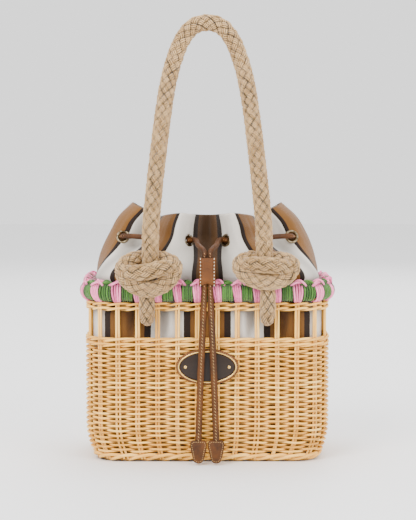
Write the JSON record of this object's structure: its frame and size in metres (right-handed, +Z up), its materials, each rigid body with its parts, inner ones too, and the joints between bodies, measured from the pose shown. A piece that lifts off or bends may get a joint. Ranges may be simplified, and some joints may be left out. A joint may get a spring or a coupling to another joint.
{
  "type": "straw basket bag",
  "caption": "Woven straw basket bag with a striped drawstring pouch inside, a raffia-wrapped rim and one braided rope handle.",
  "frame": {"origin": "middle of the flat foot that the bag stands on", "axes": "+Z up, -Y the front with the knots, the patch and the hanging cords, +X to the right seen from the front"},
  "size_m": [0.265, 0.1976, 0.4627],
  "materials": {
    "wicker": "split rods, light varnish",
    "raffia": "twisted cords, green with pink turns",
    "canvas": "plain cotton canvas with tan, dark brown and white stripes",
    "rope": "braided cotton rope",
    "leather_brown": "smooth, stitched",
    "leather_tan": "smooth, stitched",
    "eyelet_metal": "antique",
    "brass": "polished",
    "enamel": "gloss"
  },
  "bodies": {
    "root": {"basket_base": "wicker", "foot_wale": "wicker", "basket_wall": "wicker", "openwork_band": "wicker", "rim_roll": "raffia", "pouch": "canvas", "eyelet_01": "eyelet_metal", "eyelet_02": "eyelet_metal", "eyelet_03": "eyelet_metal", "eyelet_04": "eyelet_metal", "eyelet_05": "eyelet_metal", "eyelet_06": "eyelet_metal", "eyelet_07": "eyelet_metal", "eyelet_08": "eyelet_metal", "eyelet_09": "eyelet_metal", "eyelet_10": "eyelet_metal", "eyelet_11": "eyelet_metal", "eyelet_12": "eyelet_metal", "drawstring": "leather_brown", "cord_slider": "leather_tan", "drawstring_tail_left": "leather_brown", "tail_tip_left": "leather_brown", "drawstring_tail_right": "leather_brown", "tail_tip_right": "leather_brown", "handle_rope": "rope", "handle_knot_left": "rope", "handle_knot_right": "rope", "patch_leather": "leather_tan", "patch_plate": "enamel", "patch_frame": "brass", "patch_rivet_1": "brass", "patch_rivet_2": "brass"}
  },
  "joints": []
}
